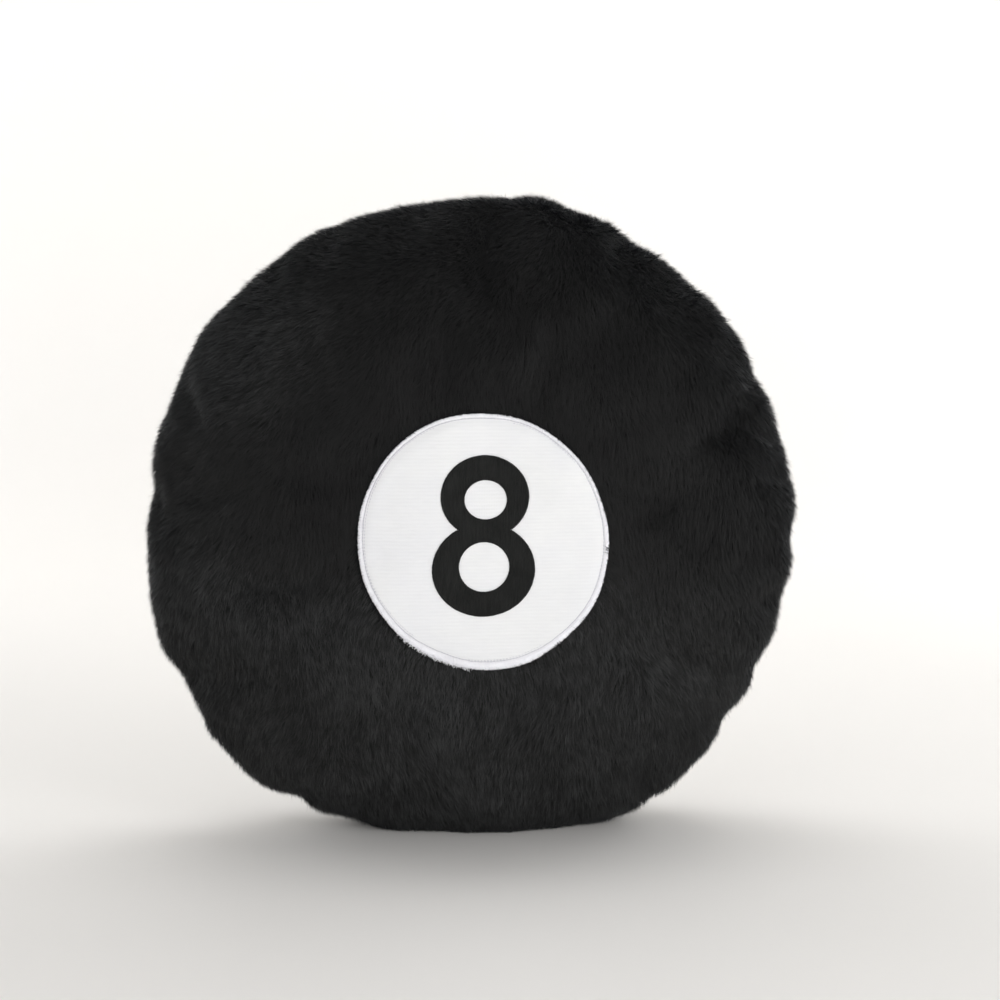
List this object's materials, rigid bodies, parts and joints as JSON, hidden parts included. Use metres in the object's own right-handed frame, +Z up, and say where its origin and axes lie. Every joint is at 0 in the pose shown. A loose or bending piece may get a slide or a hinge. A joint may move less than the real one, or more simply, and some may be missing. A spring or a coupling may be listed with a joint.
{
  "type": "round plush cushion",
  "caption": "Round plush cushion on its edge: fur pile cover with a concealed zip on the back, stitched twill patch with an embroidered numeral, and a fibre-filled insert.",
  "frame": {"origin": "centre of the flattened edge that the cushion stands on, at the surface it stands on", "axes": "+Z up; the patch faces -Y; +X is to the right of a viewer who faces the patch; Y is through the cushion's thickness"},
  "size_m": [0.406, 0.1279, 0.393],
  "materials": {
    "plush_pile": "short dense rabbit-style pile",
    "black_thread": "twisted thread",
    "stabiliser": "matte felt",
    "white_twill": "fine ribbed twill",
    "white_satin_thread": "satin stitch",
    "black_embroidery": "satin stitch",
    "zip_tape": "woven tape",
    "zip_coil": "moulded nylon",
    "zip_metal": "black enamel",
    "label_satin": "satin tape",
    "liner_cloth": "plain woven",
    "liner_thread": "twisted thread",
    "polyester_fibre": "loose fibre"
  },
  "bodies": {
    "cushion": {"front_panel": "plush_pile", "back_panel_upper": "plush_pile", "back_panel_lower": "plush_pile", "edge_seam_thread": "black_thread", "patch_backing": "stabiliser", "patch_twill": "white_twill", "patch_border_stitch": "white_satin_thread", "numeral_eight": "black_embroidery", "numeral_edge_stitch": "black_embroidery", "zip_tape_upper": "zip_tape", "zip_tape_lower": "zip_tape", "zip_coil_upper": "zip_coil", "zip_coil_lower": "zip_coil", "zip_stitch_upper": "black_thread", "zip_stitch_lower": "black_thread", "zip_top_stop": "zip_metal", "zip_bottom_stop": "zip_metal", "care_label": "label_satin", "liner_front": "liner_cloth", "liner_back": "liner_cloth", "liner_seam_thread": "liner_thread", "fibre_fill": "polyester_fibre"},
    "slider": {"zip_slider": "zip_metal"},
    "puller": {"zip_puller": "zip_metal"}
  },
  "joints": [
    {"name": "zip_slide", "type": "hinge", "parent": "cushion", "child": "slider", "pos_m": [0, -0.48537, 0.125], "axis": [0, 0, 1], "range_deg": [0, 22.3]},
    {"name": "puller_flip", "type": "hinge", "parent": "slider", "child": "puller", "pos_m": [0.11178, 0.04784, 0.125], "axis": [0, 0, -1], "range_deg": [0, 150]}
  ]
}
